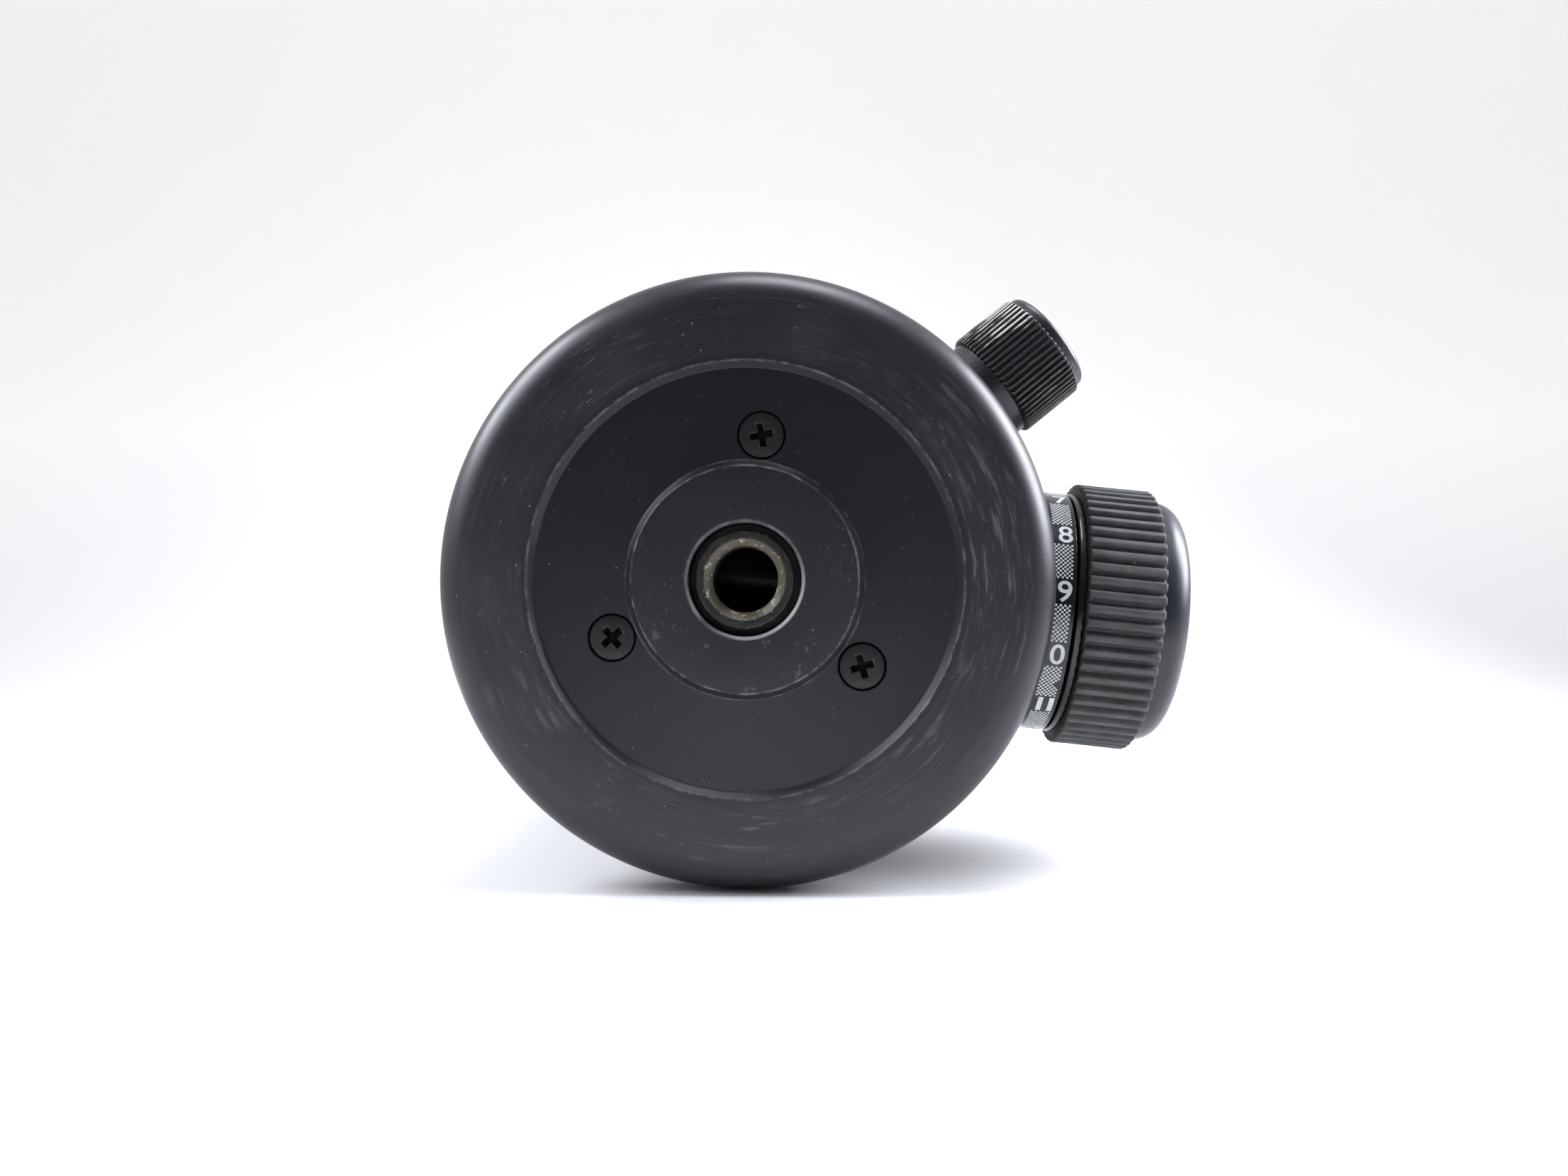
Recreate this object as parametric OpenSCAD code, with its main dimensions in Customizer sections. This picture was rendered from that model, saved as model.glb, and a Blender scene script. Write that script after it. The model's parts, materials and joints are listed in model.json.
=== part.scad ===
// Tripod ball head with a panning base, a friction-scale lock knob and a notched collar.
// Upright, +Z along the pan axis, origin at the centre of the face that meets the tripod.
// +X runs along the main lock knob. The pan lock knob points to pan_knob_azimuth.

/* [Base] */
// Radius of the base disc at its widest
base_r = 38.2; // [38:0.1:39.5]
// Height of the base disc
base_h = 8.5; // [8:0.1:8.6]
// Radius of the disc's lower rim
base_rim_r = 4.6; // [3:0.1:5]
// Radius of the recess in the disc's underside
recess_r = 26.6; // [26:0.1:28]
// Depth of that recess
recess_depth = 1.0; // [0.8:0.1:1.2]
// Radius of the centre boss
boss_r = 13.8; // [13:0.1:14.2]
// Radius of the bore in the boss
boss_bore_r = 6.85; // [6.6:0.05:7]
// Radius of the three base screws' pitch circle
screw_circle_r = 17.7; // [17.6:0.1:18]
// Azimuth of the first base screw
screw_azimuth = 30.6; // [0:0.1:119]

/* [Tripod bush] */
// Radius of the bush's face
bush_r = 6.15; // [6:0.05:6.3]
// Radius of the threaded bore, 3/8 inch 16 turns an inch, at its minor diameter
thread_bore_r = 4.0; // [3.9:0.05:4.05]
// Radius at the mouth of the bush's chamfer
bush_mouth_r = 5.1; // [4.8:0.1:5.3]

/* [Housing] */
// Radius of the housing
housing_r = 33.5; // [33:0.1:33.6]
// Height of the main lock knob's axis
lock_z = 27; // [27:0.1:27.2]
// Height of the pan lock knob's axis
pan_z = 18.3; // [18.2:0.1:18.4]
// Azimuth of the pan lock knob
pan_knob_azimuth = -45; // [-60:1:-40]

/* [Ball] */
// Radius of the ball
ball_r = 24; // [23.9:0.1:24]
// Height of the ball's centre
ball_z = 60; // [60:0.1:60.2]
// Radius of the stem above the ball
stem_r = 7; // [6.5:0.1:7]
// Radius of the platform
platform_r = 28; // [26:0.5:28]

/* [Main lock knob] */
// Radius of the scale drum
drum_r = 16.6; // [16:0.1:17.2]
// Radius of the rubber grip over its ribs
grip_r = 18.2; // [18:0.05:18.6]
// Length of the rubber grip
grip_len = 9.9; // [9:0.1:10.2]
// Number of ribs on the rubber grip
grip_ribs = 60; // [40:2:60]
// Radius of the knob's end cap
cap_r = 16.65; // [16:0.05:17.2]

/* [Pan lock knob] */
// Radius of the knurled grip
pan_grip_r = 7.65; // [7.5:0.05:8]
// Length of the knurled grip
pan_grip_len = 8.65; // [8:0.05:10]
// Number of teeth in the knurl
pan_grip_teeth = 58; // [40:2:60]

/* [Hidden] */

$fn = 96;
eps = 0.01;

// Radial clearance of a running fit, and of a piece fixed in its seat
run = 0.05;
seated = 0.02;

// Levels of the pan joint
slip_t = 0.6;
housing_bottom = base_h + slip_t;
ring_top = housing_bottom + 5.4;
flange_bottom = ring_top + 0.5;
flange_top = 21.3;

// Radii of the pan joint
hub_bore_r = 9.2;
bush_flange_r = 9.0;
hub_neck_r = 22;
flange_r = 27;
ring_r = 31;
ring_screw_circle_r = 28.5;
ring_screw_r = 1;

// Countersunk screws in the base
csk_head_r = 2.8;
csk_mouth_r = 3.0;
csk_screw_r = 1.5;
csk_screw_len = 14;

// Housing
foot_r = 34.8;
foot_h = 3;
shoulder_z = 43.2;
shoulder_r = 2;
neck_r = 29.5;
neck_top = 51.5;
chamber_r = 19;
ball_room_z = 44;
ball_room_r = ball_r + 0.6;
snap_z = 47.6;
snap_h = 1;

// Main lock, with distances along +X from the pan axis
spindle_r = 5;
spindle_start = -32;
end_bush_len = 4.5;
cam_r = 6;
cam_throw = 0.4;
cam_half = 8;
tunnel_r = 6.7;
right_bush_r = 7.5;
right_bush_start = 27;
neck_tube_r = 10;
neck_tube_end = 41.7;
lock_boss_r = 13;
drum_start = 35.2;
drum_end = 42;
collar_start = 42.2;
collar_end = 43.2;
grip_start = 43.3;
grip_end = grip_start + grip_len;
cap_end = 57.2;
cap_edge_r = 3;
core_r = 15.3;
stub_r = 4;
stub_end = 48.4;
bolt_r = 2.5;

// Pan lock, with distances outwards from the pan axis
shoe_r = 3;
shoe_tip = 27.45;
shoe_end = 31.4;
pan_screw_r = 3;
pan_screw_end = 46.5;
pan_boss_r = 7.5;
pan_boss_end = 36;
pan_neck_r = 7.0;
pan_neck_start = 37;
pan_grip_start = 41.25;
pan_grip_end = pan_grip_start + pan_grip_len;
pan_end_t = 1.4;

// Seats
cup_bottom = lock_z + cam_r + 0.2;
cup_top = 43.2;
seat_sphere_r = ball_r + 0.45;
liner_inner_r = 11;
liner_outer_r = 16.5;
liner_bottom = 38;
upper_sphere_r = ball_r + 0.12;
upper_seat_r = 27;
upper_seat_bottom = ball_z + 1;
upper_seat_top = 72.4;

// Collar
skirt_r = 33.4;
skirt_bottom = shoulder_z + 0.4;
collar_top = 74.5;
mouth_r = 21.3;
notch_r = stem_r + 0.75;

// Ball, stem and platform
ball_flat_z = ball_z + 21.4;
spigot_r = 4;
spigot_len = 12;
stem_flange_z = 94.2;
stem_flange_r = 14;
platform_bottom = 97;
platform_top = 104;
pad_r = 26.4;
pad_hole_r = 5;
pad_t = 1.6;
stud_r = 3.15;
stud_shank_r = 2.8;
stud_start = 85;
stud_top = 110.6;

satin_black = [0.09, 0.09, 0.10];
gloss_black = [0.03, 0.03, 0.035];
rubber_black = [0.13, 0.13, 0.13];
dark_steel = [0.42, 0.40, 0.37];
bright_steel = [0.7, 0.7, 0.7];
bronze = [0.65, 0.5, 0.3];
white_plastic = [0.85, 0.85, 0.83];

// Sends the children's +Z along +X at the main lock's height, starting at x.
module along_lock(x) {
    translate([x, 0, lock_z]) rotate([0, 90, 0]) children();
}

// Sends the children's +Z outwards along the pan lock's axis, starting at distance u.
module along_pan_lock(u) {
    rotate([0, 0, pan_knob_azimuth]) translate([u, 0, pan_z]) rotate([0, 90, 0]) children();
}

// A tube or washer from height z0 to z1.
module ring(outer, inner, z0, z1) {
    translate([0, 0, z0]) rotate_extrude() translate([inner, 0]) square([outer - inner, z1 - z0]);
}

// Repeats the children round the pan axis.
module around(count, start) {
    for (i = [0 : count - 1]) rotate([0, 0, start + i * 360 / count]) children();
}

// A disc profile from height 0 to h whose top edge is rounded with radius edge.
module rounded_disc(r, h, edge) {
    rotate_extrude() union() {
        square([r - edge, h]);
        square([r, h - edge]);
        intersection() {
            translate([r - edge, h - edge]) circle(r = edge);
            translate([r - edge - 1, h - edge]) square([edge + 2, edge + 1]);
        }
    }
}

// A star of teeth: crests at outer radius, roots at inner radius, crest_share of the pitch wide.
module toothed_outline(outer, inner, teeth, crest_share, root_share) {
    pitch = 360 / teeth;
    polygon([for (i = [0 : teeth - 1]) for (k = [
        [outer, -crest_share / 2], [outer, crest_share / 2],
        [inner, 0.5 - root_share / 2], [inner, 0.5 + root_share / 2]])
        k[0] * [cos((i + k[1]) * pitch), sin((i + k[1]) * pitch)]]);
}

module base_disc() {
    rim_x = base_r - base_rim_r;
    top_r = 1.5;
    edge = 0.8;
    color(satin_black) difference() {
        rotate_extrude($fn = 180) difference() {
            union() {
                square([rim_x, base_h]);
                translate([0, base_rim_r]) square([base_r, base_h - base_rim_r - top_r]);
                square([base_r - top_r, base_h]);
                translate([base_r - top_r, base_h - top_r]) circle(r = top_r);
            }
            // rounds the lower rim
            difference() {
                translate([rim_x, -1]) square([base_rim_r + 1, base_rim_r + 1]);
                translate([rim_x, base_rim_r]) circle(r = base_rim_r);
            }
            // recess between the boss and the outer face
            polygon([[boss_r, -1], [boss_r, 0], [boss_r + edge, recess_depth],
                [recess_r - edge, recess_depth], [recess_r, 0], [recess_r, -1]]);
            // bore with a broken edge, and the seat of the bush's flange above it
            polygon([[-1, -1], [boss_bore_r + 0.35, -1], [boss_bore_r + 0.35, 0],
                [boss_bore_r, 0.35], [boss_bore_r, base_h + 1], [-1, base_h + 1]]);
            translate([-1, 5]) square([bush_flange_r + seated + 1, base_h]);
        }
        // countersinks and clearance holes
        around(3, screw_azimuth) translate([screw_circle_r, 0, recess_depth]) {
            translate([0, 0, -0.5]) cylinder(r = csk_mouth_r, h = 0.9);
            translate([0, 0, 0.4 - eps]) cylinder(r1 = csk_mouth_r, r2 = 1.6, h = csk_mouth_r - 1.6);
            cylinder(r = 1.6, h = base_h);
        }
    }
}

module thread_bush() {
    face_z = 0.6;
    chamfer = bush_mouth_r - thread_bore_r;
    color(dark_steel) rotate_extrude() polygon([[bush_mouth_r, face_z], [bush_r, face_z], [bush_r, 3],
        [boss_bore_r - seated, 3], [boss_bore_r - seated, 5], [bush_flange_r, 5], [bush_flange_r, base_h],
        [thread_bore_r, base_h], [thread_bore_r, face_z + chamfer]]);
}

// A countersunk cross-head screw pointing up, its face at z = 0.
module csk_screw() {
    rim = 0.3;
    slot = [3.3, 0.8, 1.1];
    difference() {
        rotate_extrude() polygon([[0, 0], [csk_head_r, 0], [csk_head_r, rim],
            [csk_screw_r, rim + csk_head_r - csk_screw_r], [csk_screw_r, csk_screw_len], [0, csk_screw_len]]);
        for (a = [0, 90]) rotate([0, 0, a])
            translate([-slot[0] / 2, -slot[1] / 2, -eps]) cube(slot);
    }
}

module base_screws() {
    color(gloss_black) around(3, screw_azimuth)
        translate([screw_circle_r, 0, recess_depth + 0.2]) rotate([0, 0, 20]) csk_screw();
}

module pan_hub() {
    hole_top = recess_depth + csk_screw_len + 0.5;
    color(bright_steel) difference() {
        union() {
            ring(hub_neck_r, hub_bore_r, base_h, flange_top);
            ring(flange_r, hub_bore_r + 1, flange_bottom, flange_top);
        }
        around(3, screw_azimuth) translate([screw_circle_r, 0, base_h - 1])
            cylinder(r = csk_screw_r + seated, h = hole_top - base_h + 1);
    }
}

module lower_slip_washer() {
    color(white_plastic) ring(ring_r - 1, hub_neck_r + 0.3, base_h, housing_bottom);
}

module upper_slip_washer() {
    color(white_plastic) ring(flange_r - 0.4, hub_neck_r + 0.3, ring_top, flange_bottom);
}

// The housing's outside: foot, wall, neck for the collar, and a boss for each knob.
module housing_outside() {
    rotate_extrude($fn = 180) difference() {
        union() {
            translate([0, housing_bottom]) square([housing_r, shoulder_z - housing_bottom]);
            translate([0, housing_bottom]) square([foot_r, foot_h]);
            translate([0, shoulder_z - 1]) square([neck_r, neck_top - shoulder_z + 1]);
        }
        difference() {
            translate([housing_r - shoulder_r, shoulder_z - shoulder_r]) square([shoulder_r + 1, shoulder_r + 1]);
            translate([housing_r - shoulder_r, shoulder_z - shoulder_r]) circle(r = shoulder_r);
        }
    }
    along_lock(20) cylinder(r = lock_boss_r, h = drum_start - 20.3);
    along_lock(20) cylinder(r = neck_tube_r, h = neck_tube_end - 20);
    along_pan_lock(20) cylinder(r = pan_boss_r, h = pan_boss_end - 20);
}

module housing_shell() {
    color(satin_black) difference() {
        housing_outside();
        // pan joint, seat chamber and room for the ball
        translate([0, 0, housing_bottom - 1]) cylinder(r = ring_r + seated, h = ring_top - housing_bottom + 1);
        translate([0, 0, ring_top - eps]) cylinder(r = flange_r + 0.3, h = flange_top + 0.4 - ring_top);
        translate([0, 0, ring_top]) cylinder(r = chamber_r + seated, h = neck_top);
        translate([0, 0, ball_room_z]) cylinder(r = ball_room_r, h = neck_top);
        // spindle tunnel and its bushes
        along_lock(spindle_start - 0.3) cylinder(r = tunnel_r, h = right_bush_start - spindle_start + 1);
        along_lock(right_bush_start) cylinder(r = right_bush_r + seated, h = neck_tube_end);
        // pan lock's shoe and bush
        along_pan_lock(flange_r - 1) cylinder(r = shoe_r + run, h = 6);
        along_pan_lock(shoe_end + 0.3) cylinder(r = 5 + seated, h = 10);
        // snap ring's groove, ring screws' tapped holes and index pin's hole
        ring(neck_r + 1, neck_r - 0.9, snap_z - 0.6, snap_z + 0.6);
        around(4, 22) translate([ring_screw_circle_r, 0, ring_top - eps]) cylinder(r = ring_screw_r + seated, h = 4);
        translate([drum_start - 2, 0, lock_z + lock_boss_r - 1.2]) cylinder(r = 0.8 + seated, h = 3);
    }
}

module retaining_ring() {
    color(bright_steel) difference() {
        ring(ring_r, hub_neck_r + run, housing_bottom, ring_top);
        around(4, 22) translate([ring_screw_circle_r, 0, housing_bottom - 1]) {
            cylinder(r = ring_screw_r + seated, h = 8);
            cylinder(r = 1.9 + seated, h = 3);
        }
    }
}

module ring_screws() {
    color(gloss_black) around(4, 22) translate([ring_screw_circle_r, 0, housing_bottom + 0.2]) {
        cylinder(r = 1.9, h = 1.8);
        cylinder(r = ring_screw_r, h = 7.8);
    }
}

module spindle_bush() {
    color(bronze) along_lock(right_bush_start)
        ring(right_bush_r, spindle_r + run, 0, neck_tube_end - right_bush_start - 0.4);
}

module spindle_end_bush() {
    color(bronze) along_lock(spindle_start) ring(tunnel_r - seated, spindle_r + run, 0, end_bush_len);
}

module pan_screw_bush() {
    color(bronze) along_pan_lock(shoe_end + 0.3) ring(5, pan_screw_r + run, 0.1, pan_boss_end - shoe_end - 0.3);
}

module index_pin() {
    color(white_plastic) translate([drum_start - 2, 0, lock_z + lock_boss_r - 1.2]) cylinder(r = 0.8, h = 1.5);
}

module collar_snap_ring() {
    color(bright_steel) ring(neck_r + 0.6, neck_r - 0.8, snap_z - snap_h / 2, snap_z + snap_h / 2);
}

module scale_drum() {
    edge = 0.3;
    length = drum_end - drum_start;
    color(gloss_black) along_lock(drum_start) rotate_extrude() polygon([[neck_tube_r + run, 0],
        [drum_r - edge, 0], [drum_r, edge], [drum_r, length - edge], [drum_r - edge, length],
        [neck_tube_r + run, length]]);
}

module lock_spindle() {
    color(bright_steel) difference() {
        union() {
            along_lock(spindle_start) cylinder(r = spindle_r, h = collar_end - spindle_start);
            along_lock(collar_end - 1) cylinder(r = stub_r, h = stub_end - collar_end + 1);
            translate([0, -cam_throw, 0]) along_lock(-cam_half) cylinder(r = cam_r, h = 2 * cam_half);
        }
        along_lock(stub_end - 10.5) cylinder(r = bolt_r + seated, h = 11);
    }
}

module knob_collar() {
    r = drum_r + 0.1;
    edge = 0.25;
    length = collar_end - collar_start;
    color(gloss_black) along_lock(collar_start) rotate_extrude() polygon([[spindle_r + seated, 0],
        [r - edge, 0], [r, edge], [r, length - edge], [r - edge, length], [spindle_r + seated, length]]);
}

module knob_core() {
    color(satin_black) along_lock(collar_end) difference() {
        cylinder(r = core_r, h = grip_end - collar_end);
        translate([0, 0, -1]) cylinder(r = stub_r + seated, h = grip_len + 4);
        translate([0, 0, stub_end - collar_end]) cylinder(r = 5, h = grip_len);
    }
}

module knob_grip() {
    rib_h = 0.85;
    color(rubber_black) along_lock(grip_start) difference() {
        linear_extrude(height = grip_len) toothed_outline(grip_r, grip_r - rib_h, grip_ribs, 0.42, 0.3);
        translate([0, 0, -1]) cylinder(r = core_r + seated, h = grip_len + 2);
    }
}

module knob_cap() {
    color(satin_black) along_lock(grip_end) rounded_disc(cap_r, cap_end - grip_end, cap_edge_r);
}

module knob_bolt() {
    color(dark_steel) {
        along_lock(stub_end - 10) cylinder(r = bolt_r, h = 10.1);
        along_lock(stub_end + 0.1) cylinder(r = 4.4, h = 4);
    }
}

module seat_cup() {
    color(bright_steel) difference() {
        translate([0, 0, cup_bottom]) cylinder(r = chamber_r - run, h = cup_top - cup_bottom);
        translate([0, 0, ball_z]) sphere(r = seat_sphere_r, $fn = 180);
        ring(liner_outer_r + seated, liner_inner_r - seated, liner_bottom, cup_top + 1);
    }
}

module seat_liner() {
    color(white_plastic) difference() {
        ring(liner_outer_r, liner_inner_r, liner_bottom, cup_top);
        translate([0, 0, ball_z]) sphere(r = seat_sphere_r - 0.08, $fn = 180);
    }
}

module pan_shoe() {
    color(bronze) along_pan_lock(shoe_tip) cylinder(r = shoe_r, h = shoe_end - shoe_tip);
}

module pan_screw() {
    color(bright_steel) along_pan_lock(shoe_end + 0.05) cylinder(r = pan_screw_r, h = pan_screw_end - shoe_end);
}

module pan_knob() {
    tooth_h = 0.4;
    color(satin_black) along_pan_lock(pan_neck_start) difference() {
        union() {
            cylinder(r = pan_neck_r, h = pan_grip_start - pan_neck_start + eps);
            translate([0, 0, pan_grip_start - pan_neck_start]) linear_extrude(height = pan_grip_len)
                toothed_outline(pan_grip_r, pan_grip_r - tooth_h, pan_grip_teeth, 0.2, 0.2);
        }
        translate([0, 0, -1]) cylinder(r = pan_screw_r + seated, h = pan_screw_end - pan_neck_start + 1.2);
    }
}

module pan_knob_end() {
    color(satin_black) along_pan_lock(pan_grip_end) rounded_disc(pan_neck_r + 0.1, pan_end_t, 0.8);
}

// The slot that the stem drops into, with a round floor level with the ball's centre.
module drop_notch() {
    rotate([0, 0, 180]) translate([0, 0, ball_z]) {
        rotate([0, 90, 0]) cylinder(r = notch_r, h = skirt_r + 5);
        translate([0, -notch_r, 0]) cube([skirt_r + 5, 2 * notch_r, collar_top]);
    }
}

module notched_collar() {
    top_edge = 9;
    color(satin_black) difference() {
        translate([0, 0, skirt_bottom]) rounded_disc(skirt_r, collar_top - skirt_bottom, top_edge, $fn = 180);
        translate([0, 0, skirt_bottom - 1]) cylinder(r = neck_r + run, h = neck_top + 0.4 - skirt_bottom + 1);
        cylinder(r = upper_seat_r + seated, h = upper_seat_top);
        rotate_extrude() polygon([[0, upper_seat_top - 1], [mouth_r - 0.4, upper_seat_top - 1],
            [mouth_r - 0.4, upper_seat_top], [mouth_r + 0.6, collar_top + eps], [0, collar_top + eps]]);
        ring(neck_r + 0.8, neck_r - 1, snap_z - snap_h / 2 - 0.2, snap_z + snap_h / 2 + 0.2);
        drop_notch();
    }
}

module upper_seat() {
    color(white_plastic) difference() {
        ring(upper_seat_r, 19, upper_seat_bottom, upper_seat_top);
        translate([0, 0, ball_z]) sphere(r = upper_sphere_r, $fn = 180);
        drop_notch();
    }
}

module ball() {
    color(gloss_black) difference() {
        translate([0, 0, ball_z]) sphere(r = ball_r, $fn = 180);
        translate([-ball_r, -ball_r, ball_flat_z]) cube([2 * ball_r, 2 * ball_r, ball_r]);
        translate([0, 0, ball_flat_z - spigot_len - 0.2]) cylinder(r = spigot_r + run, h = spigot_len + 1);
    }
}

module stem() {
    color(satin_black) difference() {
        union() {
            translate([0, 0, ball_flat_z - spigot_len]) cylinder(r = spigot_r, h = spigot_len + 1);
            rotate_extrude() union() {
                translate([0, ball_flat_z + 0.1]) square([stem_r, platform_bottom - ball_flat_z - 0.1]);
                translate([0, stem_flange_z]) square([stem_flange_r, platform_bottom - stem_flange_z]);
            }
        }
        translate([0, 0, stud_start]) cylinder(r = stud_shank_r + seated, h = platform_bottom);
    }
}

module platform() {
    height = platform_top - platform_bottom;
    bevel = 2.5;
    edge = 0.4;
    groove_r = 1;
    color(satin_black) difference() {
        translate([0, 0, platform_bottom]) rotate_extrude($fn = 180) difference() {
            polygon([[0, 0], [platform_r - bevel, 0], [platform_r, bevel],
                [platform_r, height - edge], [platform_r - edge, height], [0, height]]);
            translate([platform_r + 0.4, bevel + 2]) circle(r = groove_r);
        }
        translate([0, 0, platform_bottom - 1]) cylinder(r = stud_shank_r + seated, h = 20);
    }
}

module platform_pad() {
    color(rubber_black) ring(pad_r, pad_hole_r, platform_top, platform_top + pad_t);
}

module camera_screw() {
    tip = 0.6;
    thread_start = platform_top + 0.3;
    color(bright_steel) rotate_extrude() polygon([[0, stud_start + 0.2], [stud_shank_r, stud_start + 0.2],
        [stud_shank_r, thread_start], [stud_r, thread_start], [stud_r, stud_top - tip],
        [stud_r - tip, stud_top], [0, stud_top]]);
}

base_disc();
thread_bush();
base_screws();
pan_hub();
lower_slip_washer();
housing_shell();
retaining_ring();
ring_screws();
upper_slip_washer();
spindle_bush();
spindle_end_bush();
pan_screw_bush();
index_pin();
collar_snap_ring();
scale_drum();
lock_spindle();
knob_collar();
knob_core();
knob_grip();
knob_cap();
knob_bolt();
seat_cup();
seat_liner();
pan_shoe();
pan_screw();
pan_knob();
pan_knob_end();
notched_collar();
upper_seat();
ball();
stem();
platform();
platform_pad();
camera_screw();
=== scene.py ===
"""Looks of a tripod ball head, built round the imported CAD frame.

Sizes are in millimetres unless a name says otherwise. Each lathe-turned piece is made in its own
frame, whose Z is the piece's axis and whose X points down the row frame.
"""

import json
import math

import bmesh
import bpy
from mathutils import Matrix, Vector


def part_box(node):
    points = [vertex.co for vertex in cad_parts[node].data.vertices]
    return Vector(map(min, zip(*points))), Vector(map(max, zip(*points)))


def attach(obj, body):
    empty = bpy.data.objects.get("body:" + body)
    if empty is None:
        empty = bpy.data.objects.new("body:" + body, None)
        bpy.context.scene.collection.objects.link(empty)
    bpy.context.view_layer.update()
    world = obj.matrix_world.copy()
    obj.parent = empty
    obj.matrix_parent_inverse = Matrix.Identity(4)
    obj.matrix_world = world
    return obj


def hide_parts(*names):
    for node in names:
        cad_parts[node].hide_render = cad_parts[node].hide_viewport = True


MM = 0.001
TURN = 2 * math.pi

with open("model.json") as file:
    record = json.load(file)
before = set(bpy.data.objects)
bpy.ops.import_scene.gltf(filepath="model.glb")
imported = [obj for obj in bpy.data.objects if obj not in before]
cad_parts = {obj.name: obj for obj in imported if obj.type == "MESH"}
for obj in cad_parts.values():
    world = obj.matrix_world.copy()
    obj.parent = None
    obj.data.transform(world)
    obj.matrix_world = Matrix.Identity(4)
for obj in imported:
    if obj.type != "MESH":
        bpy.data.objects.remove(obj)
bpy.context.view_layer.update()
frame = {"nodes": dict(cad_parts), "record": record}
cad_nodes = frame["nodes"]
body_of_node = {n: b for b, ns in frame["record"]["behaviour"]["bodies"].items() for n in ns}
slot_of_node = {s["node"]: s["material_slot"] for s in frame["record"]["subparts"]}


# ---------------------------------------------------------------- frames and measures


def axis_frame(height, azimuth):
    """The frame of a knob's axis, which leaves the pan axis at this height and azimuth."""
    along = Vector((math.cos(azimuth), math.sin(azimuth), 0))
    down = Vector((0, 0, -1))
    made = Matrix((down, along.cross(down), along)).transposed().to_4x4()
    made.translation = Vector((0, 0, height * MM))
    return made


def middle_height(node):
    lo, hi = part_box(node)
    return (lo.z + hi.z) / 2 / MM


PAN_AXIS = Matrix.Identity(4)
LOCK_AXIS = axis_frame(middle_height("scale_drum"), 0)
PAN_LOCK_AXIS = axis_frame(middle_height("pan_shoe"), math.radians(-45))

# the base disc's outer face: radii of its edges, and the recess's depth
BORE_EDGE = 7.2
BOSS_EDGE = 13.8
BOSS_FOOT = 14.6
RECESS_FOOT = 25.8
RECESS_EDGE = 26.6
RECESS_DEPTH = 1.0

SCREW_CIRCLE = 17.7
SCREW_AZIMUTH = 30.6
SCREW_FACE = 1.2
# how far each cross is turned from the row frame's X
CROSS_TURNS = (-22.0, -45.0, -17.0)

BALL_CENTRE = 60


def extent(node, axis):
    """Start, end and largest radius of a CAD node about an axis."""
    turned = axis.inverted()
    points = [turned @ v.co for v in cad_nodes[node].data.vertices]
    heights = [p.z / MM for p in points]
    return min(heights), max(heights), max(math.hypot(p.x, p.y) for p in points) / MM


# ---------------------------------------------------------------- mesh tools


def rounded(corners, steps=6):
    """Turns the (r, h, fillet) corners of a closed profile into points."""
    points = []
    for i, (r, h, fillet) in enumerate(corners):
        corner = Vector((r, h))
        if not fillet:
            points.append((r, h))
            continue
        back = (Vector(corners[i - 1][:2]) - corner).normalized()
        ahead = (Vector(corners[(i + 1) % len(corners)][:2]) - corner).normalized()
        half = back.angle(ahead) / 2
        centre = corner + (back + ahead).normalized() * (fillet / math.sin(half))
        start = corner + back * (fillet / math.tan(half)) - centre
        end = corner + ahead * (fillet / math.tan(half)) - centre
        first = math.atan2(start.y, start.x)
        sweep = (math.atan2(end.y, end.x) - first + math.pi) % TURN - math.pi
        for k in range(steps + 1):
            a = first + sweep * k / steps
            points.append((centre.x + fillet * math.cos(a), centre.y + fillet * math.sin(a)))
    return points


def add_object(name, data, place):
    made = bpy.data.objects.new(name, data)
    made.matrix_world = place
    bpy.context.scene.collection.objects.link(made)
    return made


def shade_smooth(mesh, sharp):
    """Smooth shading, except at edges sharper than this angle in degrees."""
    mesh.polygons.foreach_set("use_smooth", [True] * len(mesh.polygons))
    mesh.set_sharp_from_angle(angle=math.radians(sharp))


def finish_mesh(name, work, axis, sharp=32):
    """Makes an object from a bmesh, smooth except at sharp edges."""
    bmesh.ops.remove_doubles(work, verts=work.verts, dist=5e-7)
    bmesh.ops.recalc_face_normals(work, faces=work.faces)
    mesh = bpy.data.meshes.new(name)
    work.to_mesh(mesh)
    work.free()
    shade_smooth(mesh, sharp)
    return add_object(name, mesh, axis)


def lathe(name, profile, axis, segments=256, shape=None, sharp=32):
    """Spins a closed profile of (r, h) points about the axis.

    shape(r, h, angle), where given, returns the radius to use for a point.
    """
    work = bmesh.new()
    rows = []
    for s in range(segments):
        a = TURN * s / segments
        c, d = math.cos(a) * MM, math.sin(a) * MM
        row = []
        for r, h in profile:
            q = shape(r, h, a) if shape else r
            row.append(work.verts.new((q * c, q * d, h * MM)))
        rows.append(row)
    for s in range(segments):
        here, there = rows[s], rows[(s + 1) % segments]
        for i in range(len(profile)):
            j = (i + 1) % len(profile)
            if profile[i][0] > 0 or profile[j][0] > 0:
                work.faces.new((here[i], there[i], there[j], here[j]))
    return finish_mesh(name, work, axis, sharp)


def cut(target, cutters, sharp=32):
    """Takes the cutters away from the target for good, and deletes them."""
    for cutter in cutters:
        modifier = target.modifiers.new("cut", "BOOLEAN")
        modifier.operation = "DIFFERENCE"
        modifier.solver = "EXACT"
        modifier.object = cutter
    bpy.context.view_layer.update()
    ready = target.evaluated_get(bpy.context.evaluated_depsgraph_get())
    mesh = bpy.data.meshes.new_from_object(ready)
    target.modifiers.clear()
    target.data = mesh
    shade_smooth(mesh, sharp)
    for cutter in cutters:
        bpy.data.objects.remove(cutter)


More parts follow.
